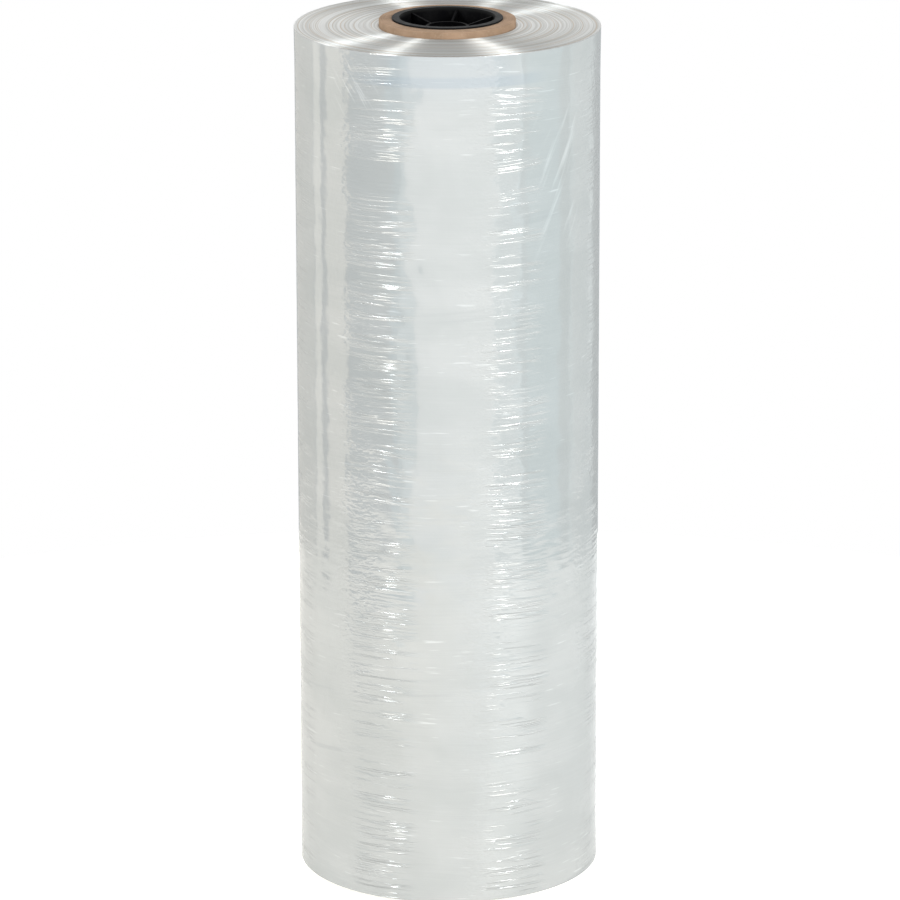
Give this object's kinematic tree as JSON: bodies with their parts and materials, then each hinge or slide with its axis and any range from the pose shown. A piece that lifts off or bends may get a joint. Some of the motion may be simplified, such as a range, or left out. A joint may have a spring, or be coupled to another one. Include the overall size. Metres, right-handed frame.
{
  "type": "roll of shrink film",
  "caption": "Standing roll of clear shrink film wound tightly on a paperboard core, with a spoked black plastic plug pressed into each end of the core.",
  "frame": {"origin": "centre of the lower plug's flange face, which is the face that the roll stands on", "axes": "+Z along the core, up; the roll is alike all round, and -Y faces the viewer of the picture"},
  "size_m": [0.2279, 0.228, 0.6614],
  "materials": {
    "film": "clear glossy film, milky in bulk, with fine creases round the roll",
    "paperboard": "uncoated brown board",
    "plug_plastic": "moulded black plastic, satin"
  },
  "bodies": {
    "root": {"film_winding": "film", "paperboard_core": "paperboard", "upper_core_plug": "plug_plastic", "lower_core_plug": "plug_plastic"}
  },
  "joints": []
}
